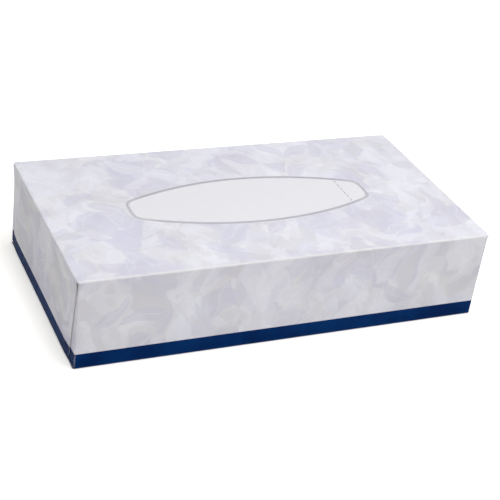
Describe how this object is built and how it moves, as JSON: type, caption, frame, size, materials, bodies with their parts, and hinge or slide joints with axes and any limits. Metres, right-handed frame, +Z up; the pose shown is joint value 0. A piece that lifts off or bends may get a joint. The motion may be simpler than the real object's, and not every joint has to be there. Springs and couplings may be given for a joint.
{
  "type": "tissue box",
  "caption": "Flat sealed facial tissue box of folded printed board, with glued end flaps and a perforated tear-out oval with a finger tab in the top.",
  "frame": {"origin": "centre of the underside, on the surface that the box rests on", "axes": "+X along the box, towards the finger tab's end of the oval; -Y out of the long front panel; +Z up, out of the panel with the tear-out oval"},
  "size_m": [0.228, 0.122, 0.05],
  "materials": {
    "printed_board": "satin printed board, pale lavender grey with a dark blue band round the foot"
  },
  "bodies": {
    "root": {"tissue_box": "printed_board"}
  },
  "joints": []
}
